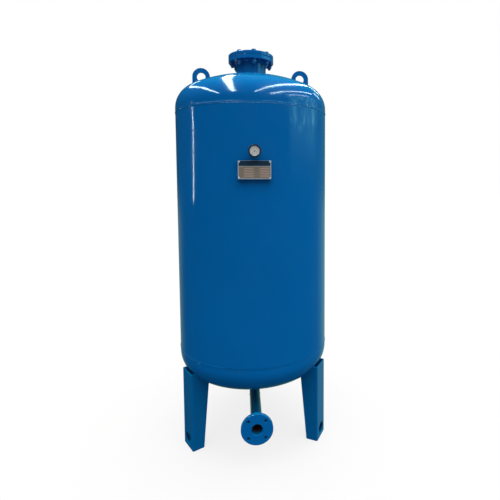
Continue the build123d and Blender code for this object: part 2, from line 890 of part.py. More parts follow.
def plate_place():
    return Plane(origin=(0, -shell_r, plate_z), x_dir=(1, 0, 0), z_dir=(0, -1, 0)).location


def rivet_spots():
    return GridLocations(2 * rivet_x, 2 * rivet_y, 2, 2)


def nameplate_bracket():
    """Folded holder, its two returns profiled to the shell."""
    depth = nameplate_face + bracket_width**2 / (8 * shell_r) + bracket_bend
    blank = Pos(0, 0, nameplate_face) * Box(
        bracket_width, bracket_height, depth, align=(Align.CENTER, Align.CENTER, Align.MAX)
    )
    blank = fillet(blank.edges().filter_by(Axis.Y).group_by(Axis.Z)[-1], bracket_bend)
    hollow = Pos(0, 0, bracket_standoff) * Box(
        bracket_width - 2 * bracket_sheet,
        2 * bracket_height,
        2 * depth,
        align=(Align.CENTER, Align.CENTER, Align.MAX),
    )
    hollow = fillet(
        hollow.edges().filter_by(Axis.Y).group_by(Axis.Z)[-1], bracket_bend - bracket_sheet
    )
    bracket = blank - hollow
    for spot in rivet_spots():
        bracket -= spot * Cylinder(rivet_radius + rivet_play, 4 * nameplate_face)
    shell_space = Pos(0, 0, plate_z) * Cylinder(shell_r + weld_gap, 2 * bracket_height)
    return plate_place() * bracket - shell_space


def nameplate():
    width = bracket_width - 2 * nameplate_border
    height = bracket_height - 2 * nameplate_border
    sheet = RectangleRounded(width, height, nameplate_corner)
    for spot in rivet_spots():
        sheet -= spot * Circle(rivet_radius + rivet_play)
    return plate_place() * extrude(Pos(0, 0, nameplate_face) * sheet, nameplate_sheet)


def nameplate_rivets():
    top = nameplate_face + nameplate_sheet
    head = disc(rivet_head_radius, top, top + rivet_head_height)
    head = fillet(head.edges().group_by(Axis.Z)[-1], rivet_crown)
    rivet = head + disc(rivet_radius, bracket_standoff - bracket_sheet / 2, top)
    return Compound(children=[plate_place() * spot * rivet for spot in rivet_spots()])


nodes = {
    "shell_course": shell_course(),
    "top_head": dished_head(top_tangent_z, top_seam_z, 1, neck_od),
    "bottom_head": dished_head(bottom_tangent_z, bottom_seam_z, -1, outlet_pipe_od),
    "neck_pipe": neck_pipe(),
    "neck_flange": neck_flange(),
    "mouth_cover": mouth_cover(),
    "cover_bolts": cover_bolts(),
    "cover_nuts": cover_nuts(),
    "cover_washers": cover_washers(),
    "bladder": bladder(),
    "bladder_guard": bladder_guard(),
    "valve_body": valve_body(),
    "valve_core": valve_core(),
    "valve_pin": valve_pin(),
    "valve_cap": valve_cap(),
    "lug_left": lifting_lug(-1),
    "lug_right": lifting_lug(1),
    "outlet_stub": outlet_stub(),
    "outlet_elbow": outlet_elbow(),
    "outlet_run": outlet_run(),
    "outlet_flange": outlet_flange(),
    "gauge_boss": gauge_boss(),
    "gauge_socket": gauge_socket(),
    "gauge_case": gauge_case(),
    "gauge_window": gauge_window(),
    "gauge_bezel": gauge_bezel(),
    "gauge_dial": gauge_dial(),
    "gauge_plates": gauge_plates(),
    "gauge_bourdon": gauge_bourdon(),
    "gauge_tip": gauge_tip(),
    "gauge_pinion": gauge_pinion(),
    "gauge_sector": gauge_sector(),
    "gauge_link": gauge_link(),
    "gauge_pointer": gauge_pointer(),
    "nameplate_bracket": nameplate_bracket(),
    "nameplate": nameplate(),
    "nameplate_rivets": nameplate_rivets(),
}
for place, azimuth in leg_azimuths.items():
    nodes["leg_" + place] = leg(azimuth)
    nodes["foot_plate_" + place] = foot_plate(azimuth)

os.makedirs("parts", exist_ok=True)
for name, solid in nodes.items():
    export_step(solid, f"parts/{name}.step")
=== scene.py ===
import json
from math import cos, hypot, pi, radians, sin, sqrt
from random import Random

import bpy
from mathutils import Matrix, Vector
from mathutils.geometry import tessellate_polygon


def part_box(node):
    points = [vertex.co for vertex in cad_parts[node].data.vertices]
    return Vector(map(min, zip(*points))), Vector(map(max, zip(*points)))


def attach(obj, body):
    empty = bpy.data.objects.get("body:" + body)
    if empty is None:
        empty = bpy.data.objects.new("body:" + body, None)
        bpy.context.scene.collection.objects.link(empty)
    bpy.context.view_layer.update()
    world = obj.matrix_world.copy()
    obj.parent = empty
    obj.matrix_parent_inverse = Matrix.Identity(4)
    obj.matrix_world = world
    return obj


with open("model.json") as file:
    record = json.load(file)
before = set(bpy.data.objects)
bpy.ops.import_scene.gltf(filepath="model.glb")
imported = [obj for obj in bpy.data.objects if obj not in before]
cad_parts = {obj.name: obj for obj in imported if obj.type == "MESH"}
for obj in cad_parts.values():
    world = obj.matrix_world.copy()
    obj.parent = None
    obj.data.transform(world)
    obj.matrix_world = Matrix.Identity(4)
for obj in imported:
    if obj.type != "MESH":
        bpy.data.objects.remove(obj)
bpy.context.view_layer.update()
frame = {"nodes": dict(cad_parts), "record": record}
nodes = frame["nodes"]

# Camera, fitted to the photograph's outlines, in metres, degrees and its 500 pixels
picture_width = 500
sensor = 36.0
focal_pixels = 393.6
principal_pixel = (291.0, 209.0)
camera_place = Vector((-0.0609, -2.325, 1.4497))
camera_yaw = 7.09
camera_pitch = 4.13
camera_roll = 0.22

# Body places read from the frame
seam_width = 0.012
shell_low, shell_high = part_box("shell_course")
top_seam_z = shell_high.z - seam_width / 2
bottom_seam_z = shell_low.z + seam_width / 2
shell_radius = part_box("top_head")[1].x
gauge_low, gauge_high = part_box("gauge_bezel")
gauge_z = (gauge_low.z + gauge_high.z) / 2
plate_low, plate_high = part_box("nameplate")
plate_middle = (plate_low + plate_high) / 2
dial_thickness = 0.0006
dial_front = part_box("gauge_dial")[1].y - dial_thickness
outlet_low, outlet_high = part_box("outlet_flange")
outlet_z = (outlet_low.z + outlet_high.z) / 2
bore_radius = 0.02725
bolt_turn = -83.0
joint_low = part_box("neck_flange")[1].z
joint_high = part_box("mouth_cover")[0].z
flange_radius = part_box("mouth_cover")[1].x

# Head shape, in metres
crown_radius = 0.85
knuckle_radius = 0.1275
head_skirt = 0.025
knuckle_centre = shell_radius - knuckle_radius
crown_gap = crown_radius - knuckle_radius
head_depth = crown_radius - sqrt(crown_gap**2 - knuckle_centre**2)
crown_edge = crown_radius * knuckle_centre / crown_gap


def head_z(radius, up):
    """Height of the top head's outside (up 1) or the bottom head's (up -1) at a radius."""
    if radius < crown_edge:
        rise = head_depth - crown_radius + sqrt(crown_radius**2 - radius**2)
    else:
        rise = sqrt(knuckle_radius**2 - (radius - knuckle_centre) ** 2)
    tangent = top_seam_z + head_skirt if up > 0 else bottom_seam_z - head_skirt
    return tangent + up * rise


def add_camera():
    data = bpy.data.cameras.new("camera")
    data.sensor_width = sensor
    data.lens = focal_pixels / picture_width * sensor
    half = picture_width / 2
    data.shift_x = (half - principal_pixel[0]) / picture_width
    data.shift_y = (principal_pixel[1] - half) / picture_width
    camera = bpy.data.objects.new("camera", data)
    yaw, pitch, roll = (radians(a) for a in (camera_yaw, camera_pitch, camera_roll))
    forward = Vector((sin(yaw) * cos(pitch), cos(yaw) * cos(pitch), -sin(pitch)))
    level = Vector((cos(yaw), -sin(yaw), 0))
    upright = level.cross(forward)
    right = level * cos(roll) - upright * sin(roll)
    up = right.cross(forward)
    camera.matrix_world = Matrix.Translation(camera_place) @ Matrix(
        (right, up, -forward)
    ).transposed().to_4x4()
    bpy.context.scene.collection.objects.link(camera)
    bpy.context.scene.camera = camera


def add_node(tree, kind, inputs=None, **settings):
    """New shader node with its settings and its inputs, each a number, colour or socket."""
    node = tree.nodes.new("ShaderNode" + kind)
    for key, value in settings.items():
        setattr(node, key, value)
    for key, value in (inputs or {}).items():
        if isinstance(value, bpy.types.NodeSocket):
            tree.links.new(value, node.inputs[key])
        else:
            node.inputs[key].default_value = value
    return node


def calculate(tree, operation, *values):
    node = add_node(tree, "Math", dict(enumerate(values)), operation=operation)
    return node.outputs[0]


def ramp(tree, value, low, high, low_out=0.0, high_out=1.0):
    """Smooth step of a value between two limits."""
    inputs = {"Value": value, "From Min": low, "From Max": high}
    inputs |= {"To Min": low_out, "To Max": high_out}
    return add_node(tree, "MapRange", inputs, interpolation_type="SMOOTHSTEP").outputs[0]


# World: what lights matt surfaces, what gloss mirrors, and the white that the camera sees.
# Turns are degrees to the right of the front, and heights and reaches parts of a unit direction.
# A cloud, here and in the materials, is the scale and the detail of a noise.
zenith_light = 4.5
wall_light = 0.46
ground_light = 0.30
side_lean = 0.24
horizon_rise = 0.15
ground_rise = -0.6
mirror_tint = (0.30, 1.1, 0.85)
mirror_left = 0.05
mirror_right = 0.19
mirror_sides = (-0.5, 0.5)
mirror_front = 0.1
mirror_behind = (-0.2, 0.8)
ground_tint = (0.68, 1.03, 0.66)
mirror_ground = 0.22
ground_heights = (-0.12, 0.02)
ground_reach = (0.45, 0.85)
ground_slant = 0.1
leaf_tint = (0.30, 1.0, 0.85)
leaf_light = 4.4
leaf_haze = 0.12
leaf_stretch = (1.0, 1.0, 3.2)
leaf_cloud = (11.0, 5.0)
leaf_contrast = (0.49, 0.66)
leaf_near = (50.0, 64.0)
leaf_far = (96.0, 120.0)
leaf_low = (-0.02, 0.12)
leaf_spot_low = (0.09, 0.15)
leaf_high = (0.30, 0.46)


def times(tree, colour, factor):
    """A colour multiplied by a number."""
    grey = add_node(tree, "CombineXYZ", {0: factor, 1: factor, 2: factor}).outputs[0]
    product = add_node(tree, "VectorMath", {0: colour, 1: grey}, operation="MULTIPLY")
    return product.outputs[0]


def matt_light(tree, axes):
    """Light from above, the walls and the ground, stronger from the right."""
    upward = ramp(tree, axes["Z"], horizon_rise, 1.0, wall_light, zenith_light)
    downward = ramp(tree, axes["Z"], ground_rise, horizon_rise, ground_light, wall_light)
    above = calculate(tree, "GREATER_THAN", axes["Z"], horizon_rise)
    light = add_node(tree, "Mix", {0: above, 2: downward, 3: upward}).outputs[0]
    lean = calculate(tree, "MULTIPLY_ADD", axes["X"], side_lean, 1.0)
    return calculate(tree, "MULTIPLY", light, lean)


def leaves(tree, place, axes):
    """Soft broken light to the right, a little above level, as through trees."""
    front = calculate(tree, "MULTIPLY", axes["Y"], -1.0)
    turn = calculate(tree, "ARCTAN2", axes["X"], front)
    near = ramp(tree, turn, *(radians(limit) for limit in leaf_near))
    far = ramp(tree, turn, *(radians(limit) for limit in leaf_far), 1.0, 0.0)
    low = ramp(tree, axes["Z"], *leaf_low, 0.0, leaf_haze)
    high = ramp(tree, axes["Z"], *leaf_high, 1.0, 0.0)
    drawn = add_node(tree, "VectorMath", {0: place, 1: leaf_stretch}, operation="MULTIPLY")
    spots = ramp(tree, noise(tree, drawn.outputs[0], *leaf_cloud), *leaf_contrast)
    spots = calculate(tree, "MULTIPLY", spots, ramp(tree, axes["Z"], *leaf_spot_low))
    light = calculate(tree, "ADD", low, spots)
    for edge in (near, far, high):
        light = calculate(tree, "MULTIPLY", light, edge)
    return calculate(tree, "MULTIPLY", light, leaf_light)


def gloss_light(tree, place, axes):
    """Dim greenish surroundings, pale ground far behind the tank, and leaves to the right."""
    behind = ramp(tree, axes["Y"], *mirror_behind, mirror_front, 1.0)
    side = ramp(tree, axes["X"], *mirror_sides, mirror_left, mirror_right)
    walls = times(tree, mirror_tint, calculate(tree, "MULTIPLY", behind, side))
    reach = calculate(tree, "MULTIPLY_ADD", axes["X"], ground_slant, axes["Y"])
    below = ramp(tree, axes["Z"], *ground_heights, mirror_ground, 0.0)
    floor = calculate(tree, "MULTIPLY", ramp(tree, reach, *ground_reach), below)
    ground = times(tree, ground_tint, floor)
    room = add_node(tree, "VectorMath", {0: walls, 1: ground}, operation="ADD").outputs[0]
    garden = times(tree, leaf_tint, leaves(tree, place, axes))
    return add_node(tree, "VectorMath", {0: room, 1: garden}, operation="ADD").outputs[0]


def add_world():
    world = bpy.data.worlds.new("studio")
    bpy.context.scene.world = world
    world.use_nodes = True
    tree = world.node_tree
    tree.nodes.clear()
    place = add_node(tree, "TexCoord").outputs["Generated"]
    axes = add_node(tree, "SeparateXYZ", {0: place}).outputs
    rays = add_node(tree, "LightPath").outputs
    matt = matt_light(tree, axes)
    gloss = gloss_light(tree, place, axes)
    kinds = {0: rays["Is Glossy Ray"], 6: matt, 7: gloss}
    unseen = add_node(tree, "Mix", kinds, data_type="RGBA").outputs[2]
    kinds = {0: rays["Is Camera Ray"], 6: unseen, 7: (1, 1, 1, 1)}
    light = add_node(tree, "Mix", kinds, data_type="RGBA").outputs[2]
    background = add_node(tree, "Background", {"Color": light})
    out = add_node(tree, "OutputWorld")
    tree.links.new(background.outputs[0], out.inputs[0])


# Lights that only gloss shows, each with start, end, width and radiance, in metres. They stand
# where their images fall as the photograph's do. The ceiling's are at one height.
ceiling = 4.4
roof_lights = (
    ((-0.34, 3.4), (-0.62, 1.5), 0.24, 12),
    ((-0.61, 1.6), (-0.91, 0.0), 0.33, 18),
    ((-0.90, 0.1), (-1.13, -1.0), 0.33, 26),
    ((-1.12, -0.9), (-1.42, -2.0), 0.38, 28),
    ((-1.41, -1.9), (-1.98, -3.9), 0.44, 28),
    ((-2.39, 2.9), (-2.77, 0.0), 0.17, 14),
    ((-2.76, 0.1), (-4.20, -3.5), 0.20, 24),
    ((-2.20, 3.3), (-1.40, 3.6), 0.14, 8),
    ((0.33, -4.5), (1.11, -1.7), 0.16, 24),
    ((1.10, -1.8), (1.68, 0.3), 0.22, 24),
    ((1.67, 0.2), (2.05, 2.9), 0.22, 14),
    ((2.62, -5.2), (2.75, -2.6), 0.20, 30),
    ((2.74, -2.7), (3.10, -1.1), 0.11, 24),
    ((3.08, -1.2), (4.06, 1.6), 0.11, 22),
    ((4.60, -3.7), (4.80, -1.9), 0.16, 12),
    ((4.79, -2.0), (5.50, 0.6), 0.16, 10),
    ((2.10, 3.6), (3.45, 5.0), 0.18, 10),
    ((3.50, 2.3), (5.10, 4.3), 0.18, 12),
)
wall_strip = ((-3.26, 0.0, 2.37), (-3.28, 0.1, 1.21), 0.05, 26)
strip_tint = (0.80, 1.0, 1.0)


def add_strip(name, start, end, width, radiance):
    """Long light between two points that faces the tank's upper part and only gloss mirrors."""
    start, end = Vector(start), Vector(end)
    data = bpy.data.lights.new(name, "AREA")
    data.shape = "RECTANGLE"
    data.size = (end - start).length
    data.size_y = width
    data.energy = radiance * pi * data.size * width
    data.color = strip_tint
    light = bpy.data.objects.new(name, data)
    middle = (start + end) / 2
    along = (end - start).normalized()
    towards = Vector((0, 0, top_seam_z)) - middle
    down = (towards - along * towards.dot(along)).normalized()
    light.matrix_world = Matrix.Translation(middle) @ Matrix(
        (along, down.cross(along), -down)
    ).transposed().to_4x4()
    light.visible_diffuse = False
    light.visible_camera = False
    bpy.context.scene.collection.objects.link(light)


def add_lights():
    for index, (start, end, width, radiance) in enumerate(roof_lights):
        spots = [(*spot, ceiling) for spot in (start, end)]
        add_strip(f"roof_light_{index}", *spots, width, radiance)
    add_strip("wall_light", *wall_strip)


floor_half = 30.0
floor_tones = (0.083, 0.083, 0.083), (0.086, 0.086, 0.085)
floor_glows = (0.99, 0.99, 0.99), (1.0, 1.0, 0.995)
floor_glow_strength = 0.78
floor_roughness = 0.9
floor_cloud = (3.0, 6.0)


def add_floor():
    """Pale floor that glows a little, so that the shadow under the tank stays soft."""
    half = floor_half
    corners = [(-half, -half, 0), (half, -half, 0), (half, half, 0), (-half, half, 0)]
    mesh = bpy.data.meshes.new("floor")
    mesh.from_pydata(corners, [], [range(4)])
    floor = bpy.data.objects.new("floor", mesh)
    bpy.context.scene.collection.objects.link(floor)
    material = bpy.data.materials.new("floor")
    material.use_nodes = True
    tree = material.node_tree
    shader = tree.nodes["Principled BSDF"]
    grain = noise(tree, object_place(tree), *floor_cloud)
    tone = blend_colours(tree, grain, *floor_tones)
    glow = blend_colours(tree, grain, *floor_glows)
    tree.links.new(tone, shader.inputs["Base Color"])
    tree.links.new(glow, shader.inputs["Emission Color"])
    shader.inputs["Emission Strength"].default_value = floor_glow_strength
    shader.inputs["Roughness"].default_value = floor_roughness
    shader.inputs["Specular IOR Level"].default_value = 0.0
    mesh.materials.append(material)
    floor.visible_glossy = False
    floor.visible_diffuse = False


# Materials
def new_material(name, metallic=0.0):
    material = bpy.data.materials.new(name)
    material.use_nodes = True
    shader = material.node_tree.nodes["Principled BSDF"]
    shader.inputs["Metallic"].default_value = metallic
    return material, material.node_tree, shader


def object_place(tree):
    return add_node(tree, "TexCoord").outputs["Object"]


def noise(tree, place, scale, detail):
    inputs = {"Vector": place, "Scale": scale, "Detail": detail}
    return add_node(tree, "TexNoise", inputs).outputs[0]


def blend_colours(tree, share, first, second):
    inputs = {0: share, 6: (*first, 1), 7: (*second, 1)}
    return add_node(tree, "Mix", inputs, data_type="RGBA").outputs[2]


def raise_surface(tree, height, distance, normal=None):
    """Bump of a height in metres on a normal, or on the surface's own."""
    inputs = {"Height": height, "Distance": distance, "Strength": 1.0}
    if normal is not None:
        inputs["Normal"] = normal
    return add_node(tree, "Bump", inputs).outputs[0]


# Paints and seams: two tones for each paint, heights in metres
blue_deep = (0.0002, 0.078, 0.256)
blue_light = (0.0005, 0.090, 0.292)
# Painted shade: the legs' blue is a darker copy of the tank's, for the shade they stand in under
# the tank
shaded_leg_deep = (0.0002, 0.072, 0.216)
shaded_leg_light = (0.0005, 0.083, 0.246)
# Painted shade: the outlet pipe's blue is a much darker copy of the tank's, for the shade under
# the tank
shaded_pipe_deep = (0.0001, 0.036, 0.118)
shaded_pipe_light = (0.0003, 0.044, 0.140)
paint_cloud = (2.5, 4.0)
gloss_cloud = (9.0, 5.0)
gloss_contrast = (0.3, 0.7)
gloss_roughness = (0.06, 0.13)
dust_tone = (0.002, 0.10, 0.31)
dust_cloud = (38.0, 6.0)
dust_contrast = (0.62, 0.8)
dust_cover = 0.25
# Painted top light: paint that faces upward is made paler and greener, as if more light fell on it
# from above
top_light_tint = (1.0, 1.40, 1.10)
top_light_slopes = (0.25, 0.95)
rust_deep = (0.010, 0.006, 0.004)
rust_light = (0.03, 0.014, 0.008)
rust_cloud = (140.0, 3.0)
rust_roughness = 0.75
rust_depths = (0.014, 0.044)
bore_margins = (0.0006, 0.0014)
sheet_cloud = (3.2, 1.0)
sheet_wave_height = 0.004
peel_cloud = (420.0, 2.0)
peel_height = 0.000016
long_seam_azimuth = 150.0
seam_fade = (0.3 * seam_width, 0.55 * seam_width)
ripple_pitch = 0.005
ripple_height = 0.0003
paint_fill = 4.0  # depth of paint on a bead's crown, in ripple heights


def weld_ripples(tree, place):
    """Height of the seams' ripples, less the crown of their beads, which thick paint evens out."""
    axes = add_node(tree, "SeparateXYZ", {0: place}).outputs
    angle = calculate(tree, "ARCTAN2", axes["X"], axes["Y"])
    ripple_turn = 2 * pi / ripple_pitch
    rings = calculate(tree, "SINE", calculate(tree, "MULTIPLY", angle, ripple_turn * shell_radius))
    steps = calculate(tree, "SINE", calculate(tree, "MULTIPLY", axes["Z"], ripple_turn))
    across = calculate(tree, "SUBTRACT", angle, pi - radians(long_seam_azimuth))
    sideways = calculate(tree, "MULTIPLY", calculate(tree, "ABSOLUTE", across), shell_radius)
    seams = [(sideways, steps)]
    for seam_z in (top_seam_z, bottom_seam_z):
        offset = calculate(tree, "SUBTRACT", axes["Z"], seam_z)
        seams.append((calculate(tree, "ABSOLUTE", offset), rings))
    height = 0.0
    for away, ripples in seams:
        mask = ramp(tree, away, *seam_fade, 1.0, 0.0)
        height = calculate(tree, "MULTIPLY_ADD", ripples, mask, height)
        share = ramp(tree, away, 0.0, seam_width / 2)
        fall = calculate(tree, "MULTIPLY", share, -1.0)
        crown = calculate(tree, "MULTIPLY_ADD", share, fall, 1.0)
        height = calculate(tree, "MULTIPLY_ADD", crown, -paint_fill, height)
    return height


def bore_mask(tree, place):
    """One deep in the outlet pipe's bore, where no paint reached, and nought outside it."""
    axes = add_node(tree, "SeparateXYZ", {0: place}).outputs
    height = calculate(tree, "SUBTRACT", axes["Z"], outlet_z)
    flat = add_node(tree, "CombineXYZ", {0: axes["X"], 2: height}).outputs[0]
    reach = add_node(tree, "VectorMath", {0: flat}, operation="LENGTH").outputs["Value"]
    inside = ramp(tree, reach, *(bore_radius + margin for margin in bore_margins), 1.0, 0.0)
    depth = calculate(tree, "SUBTRACT", axes["Y"], outlet_low.y)
    return calculate(tree, "MULTIPLY", inside, ramp(tree, depth, *rust_depths))


def paint(name, deep, light, with_seams=False, with_bore=False):
    """Sprayed gloss enamel: slight orange peel over sheet that is not quite true."""
    material, tree, shader = new_material(name)
    place = object_place(tree)
    tone = blend_colours(tree, noise(tree, place, *paint_cloud), deep, light)
    dust = ramp(tree, noise(tree, place, *dust_cloud), *dust_contrast, 0.0, dust_cover)
    dusty = {0: dust, 6: tone, 7: (*dust_tone, 1)}
    dusty = add_node(tree, "Mix", dusty, data_type="RGBA").outputs[2]
    # Painted top light: the more a face looks upward, the paler and greener its paint
    facing = add_node(tree, "NewGeometry").outputs["Normal"]
    upward = add_node(tree, "SeparateXYZ", {0: facing}).outputs["Z"]
    painted_top_light = blend_colours(tree, ramp(tree, upward, *top_light_slopes), (1, 1, 1), top_light_tint)
    layers = {0: dusty, 1: painted_top_light}
    colour = add_node(tree, "VectorMath", layers, operation="MULTIPLY").outputs[0]
    rough = ramp(tree, noise(tree, place, *gloss_cloud), *gloss_contrast, *gloss_roughness)
    if with_bore:
        mask = bore_mask(tree, place)
        rust = blend_colours(tree, noise(tree, place, *rust_cloud), rust_deep, rust_light)
        colour = add_node(tree, "Mix", {0: mask, 6: colour, 7: rust}, data_type="RGBA").outputs[2]
        rusty = calculate(tree, "MULTIPLY", mask, rust_roughness)
        rough = calculate(tree, "MAXIMUM", rough, rusty)
    sheet = raise_surface(tree, noise(tree, place, *sheet_cloud), sheet_wave_height)
    peel = raise_surface(tree, noise(tree, place, *peel_cloud), peel_height, sheet)
    if with_seams:
        peel = raise_surface(tree, weld_ripples(tree, place), ripple_height, peel)
    tree.links.new(colour, shader.inputs["Base Color"])
    tree.links.new(rough, shader.inputs["Roughness"])
    tree.links.new(peel, shader.inputs["Normal"])
    return material


# Metals and enamels: how much finer their gloss and their grain are than their tone
tone_detail = 4.0
smear_fineness = 3
smear_detail = 3.0
smear_span = (0.7, 1.4)
grain_fineness = 8
grain_detail = 2.0
grain_height = 0.00003


def metal(name, dark, light, roughness, scale=160.0, metallic=1.0):
    """Bare or plated metal with cloudy tone and fine scratches."""
    material, tree, shader = new_material(name, metallic)
    place = object_place(tree)
    tone = blend_colours(tree, noise(tree, place, scale, tone_detail), dark, light)
    tree.links.new(tone, shader.inputs["Base Color"])
    smears = noise(tree, place, scale * smear_fineness, smear_detail)
    span = (roughness * share for share in smear_span)
    tree.links.new(ramp(tree, smears, *gloss_contrast, *span), shader.inputs["Roughness"])
    grain = noise(tree, place, scale * grain_fineness, grain_detail)
    tree.links.new(raise_surface(tree, grain, grain_height), shader.inputs["Normal"])
    return material


# Plated steel that shows through its coat where the coat's cloud is low
steel_deep = (0.14, 0.22, 0.27)
steel_light = (0.28, 0.36, 0.42)
steel_cloud = (300.0, 3.0)
steel_roughness = 0.34
coat_cloud = (30.0, 3.0)
coat_roughness = 0.16
cover_cloud = (55.0, 5.0)
cover_contrast = (0.34, 0.46)
zinc_cloud = (900.0, 2.0)
zinc_height = 0.00004


def oversprayed(name):
    """Zinc plated steel, mostly under a thin coat of the tank's paint."""
    material, tree, shader = new_material(name)
    place = object_place(tree)
    cover = ramp(tree, noise(tree, place, *cover_cloud), *cover_contrast)
    steel = blend_colours(tree, noise(tree, place, *steel_cloud), steel_deep, steel_light)
    coat = blend_colours(tree, noise(tree, place, *coat_cloud), blue_deep, blue_light)
    tone = add_node(tree, "Mix", {0: cover, 6: steel, 7: coat}, data_type="RGBA").outputs[2]
    tree.links.new(tone, shader.inputs["Base Color"])
    tree.links.new(calculate(tree, "SUBTRACT", 1.0, cover), shader.inputs["Metallic"])
    rough = ramp(tree, cover, 0.0, 1.0, steel_roughness, coat_roughness)
    tree.links.new(rough, shader.inputs["Roughness"])
    grain = raise_surface(tree, noise(tree, place, *zinc_cloud), zinc_height)
    tree.links.new(grain, shader.inputs["Normal"])
    return material


def enamel(name, dark, light, roughness, scale=300.0):
    """Stoved enamel, ink, rubber or moulded plastic: two near tones and a fine grain."""
    return metal(name, dark, light, roughness, scale, metallic=0.0)


# The gauge's window: nearly clear, with faint smears
glass_tone = (0.9, 0.95, 0.95)
glass_alpha = 0.1
glass_cloud = (90.0, 4.0)
glass_contrast = (0.35, 0.75)
glass_roughness = (0.02, 0.09)


def window_glass():
    material, tree, shader = new_material("window_glass")
    shader.inputs["Base Color"].default_value = (*glass_tone, 1)
    smears = noise(tree, object_place(tree), *glass_cloud)
    rough = ramp(tree, smears, *glass_contrast, *glass_roughness)
    tree.links.new(rough, shader.inputs["Roughness"])
    shader.inputs["Alpha"].default_value = glass_alpha
    return material


def make_materials():
    return {
        "blue_paint": paint("blue_paint", blue_deep, blue_light),
        "seamed_paint": paint("seamed_paint", blue_deep, blue_light, with_seams=True),
        "flange_paint": paint("flange_paint", blue_deep, blue_light, with_bore=True),
        "shaded_pipe_paint": paint("shaded_pipe_paint", shaded_pipe_deep, shaded_pipe_light, with_bore=True),
        "shaded_leg_paint": paint("shaded_leg_paint", shaded_leg_deep, shaded_leg_light),
        "zinc_steel": oversprayed("zinc_steel"),
        "stainless": metal("stainless", (0.55, 0.56, 0.57), (0.68, 0.69, 0.70), 0.3),
        "joint_paint": paint("joint_paint", blue_deep, blue_light),
        "bag_rubber": enamel("bag_rubber", (0.012, 0.012, 0.012), (0.03, 0.03, 0.03), 0.7, 40.0),
        "brass": metal("brass", (0.62, 0.42, 0.14), (0.78, 0.56, 0.24), 0.28),
        "black_enamel": enamel("black_enamel", (0.004, 0.006, 0.01), (0.012, 0.014, 0.02), 0.25),
        "dial_enamel": enamel("dial_enamel", (0.33, 0.37, 0.38), (0.40, 0.44, 0.45), 0.5),
        "pointer_enamel": enamel(
            "pointer_enamel", (0.006, 0.006, 0.006), (0.015, 0.015, 0.015), 0.4
        ),
        "window_glass": window_glass(),
        "plate_metal": metal(
            "plate_metal", (0.36, 0.42, 0.45), (0.50, 0.55, 0.57), 0.4, metallic=0.7
        ),
        "rivet_metal": metal(
            "rivet_metal", (0.46, 0.58, 0.65), (0.62, 0.73, 0.80), 0.28, metallic=0.4
        ),
        "cap_plastic": enamel("cap_plastic", (0.01, 0.01, 0.01), (0.02, 0.02, 0.02), 0.5),
        "band_ink": enamel("band_ink", (0.001, 0.016, 0.042), (0.003, 0.026, 0.064), 0.3),
        "field_metal": metal(
            "field_metal", (0.15, 0.125, 0.10), (0.23, 0.195, 0.155), 0.45, metallic=0.35
        ),
        "blank_ink": enamel("blank_ink", (0.24, 0.165, 0.145), (0.32, 0.235, 0.205), 0.5),
        "edge_ink": enamel("edge_ink", (0.20, 0.22, 0.21), (0.28, 0.30, 0.29), 0.45),
        "rule_ink": enamel("rule_ink", (0.05, 0.035, 0.022), (0.08, 0.06, 0.04), 0.5),
        "dial_ink": enamel("dial_ink", (0.01, 0.01, 0.01), (0.02, 0.02, 0.02), 0.5),
        "warning_ink": enamel("warning_ink", (0.42, 0.12, 0.05), (0.52, 0.18, 0.08), 0.5),
        "hub_enamel": enamel("hub_enamel", (0.20, 0.07, 0.03), (0.30, 0.12, 0.055), 0.35),
    }


# Nodes that wear a paint of their own instead of their record slot's finish
special_finishes = {
    "shell_course": "seamed_paint",
    "outlet_flange": "flange_paint",
    # the outlet pipe wears painted shade: a darker copy of the tank's blue, with rust in its bore
    "outlet_run": "shaded_pipe_paint",
    # the legs wear painted shade: a darker copy of the tank's blue
    "leg_left": "shaded_leg_paint",
    "leg_right": "shaded_leg_paint",
    "leg_rear": "shaded_leg_paint",
}


def dress_nodes(materials):
    """Gives each CAD node its finish, by its name or else by its record slot."""
    for part in frame["record"]["subparts"]:
        node = nodes[part["node"]]
        finish = materials[special_finishes.get(part["node"], part["material_slot"])]
        for slot in node.material_slots:
            slot.material = finish


def add_piece(name, points, faces, material, body="tank", smooth=False):
    """A mesh that rides on a body and wears the finish it is given."""
    mesh = bpy.data.meshes.new(name)
    mesh.from_pydata(points, [], faces)
    mesh.materials.append(material)
    if smooth:
        mesh.shade_smooth()
    piece = bpy.data.objects.new(name, mesh)
    bpy.context.scene.collection.objects.link(piece)
    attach(piece, body)


class Print:
    """Thin raised shapes on a face that looks to the front, gathered into one mesh."""

    def __init__(self, centre, face_y, thickness):
        self.centre = centre
        self.back = face_y
        self.front = face_y - thickness
        self.points = []
        self.faces = []

    def add(self, outline, holes=()):
        """Adds a flat shape with its side walls, from its outline and the holes in it."""
        loops = [outline, *holes]
        flat = [[Vector((x, z, 0)) for x, z in loop] for loop in loops]
        start = len(self.points)
        order = [spot for loop in loops for spot in loop]
        total = len(order)
        for y in (self.front, self.back):
            self.points += [(self.centre[0] + x, y, self.centre[1] + z) for x, z in order]
        for triangle in tessellate_polygon(flat):
            self.faces.append([start + corner for corner in triangle])
        for loop in loops:
            count = len(loop)
            for index in range(count):
                a, b = start + index, start + (index + 1) % count
                self.faces.append((a, b, b + total, a + total))
            start += count

    def finish(self, name, material, slot):
        add_piece(name, self.points, self.faces, material)


def rounded_box(width, height, corner, steps=5):
    """Outline of a rounded rectangle about its middle."""
    spots = []
    for turn, (sx, sz) in enumerate(((1, 1), (-1, 1), (-1, -1), (1, -1))):
        for step in range(steps + 1):
            angle = (turn + step / steps) * pi / 2
            x = sx * (width / 2 - corner) + corner * cos(angle)
            z = sz * (height / 2 - corner) + corner * sin(angle)
            spots.append((x, z))
    return spots


def moved(outline, x, z):
    """An outline shifted sideways and up."""
    return [(a + x, b + z) for a, b in outline]


